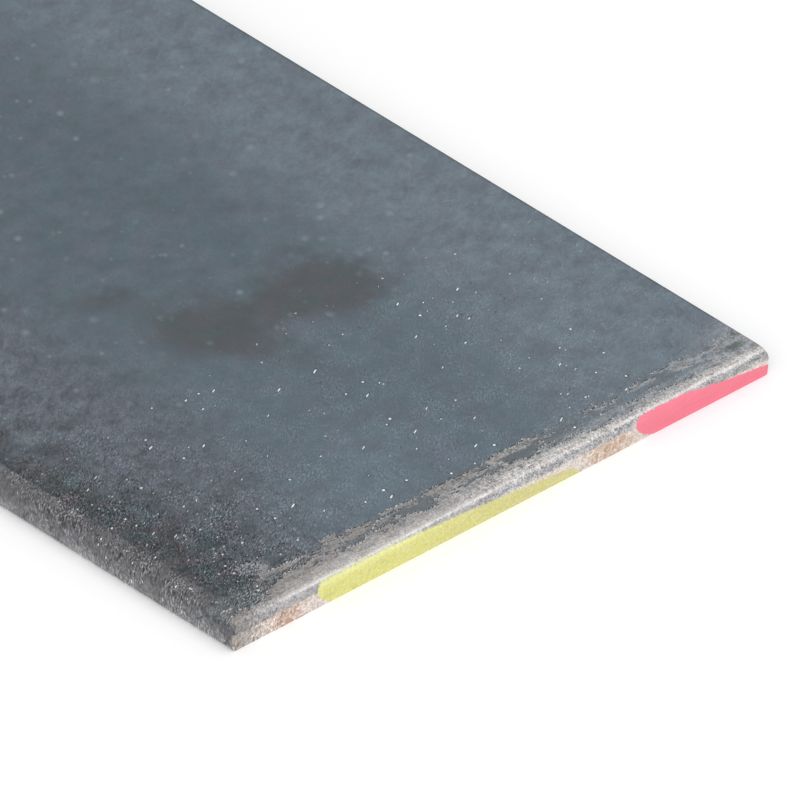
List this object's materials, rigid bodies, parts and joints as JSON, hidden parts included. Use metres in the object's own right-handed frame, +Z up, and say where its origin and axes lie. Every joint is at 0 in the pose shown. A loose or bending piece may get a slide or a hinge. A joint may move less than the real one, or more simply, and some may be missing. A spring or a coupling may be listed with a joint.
{
  "type": "steel flat bar",
  "caption": "Long flat rectangular bar of hot-rolled steel with mill scale, rounded rolled edges and sheared ends with a rollover.",
  "frame": {"origin": "middle of the bottom face, on the surface that the bar lies on", "axes": "+X along the bar's length, towards the end with its rollover on top; +Y across its width, towards the edge with the nearly sharp top corner; +Z up through its thickness"},
  "size_m": [1, 0.12, 0.005],
  "materials": {
    "mill_scale_steel": "hot-rolled mill scale, satin blue-grey with darker edges, flaked to bare grey steel and lightly rusted at the sheared end, with a yellow and a pink paint stroke on the end"
  },
  "bodies": {
    "root": {"flat_bar": "mill_scale_steel"}
  },
  "joints": []
}
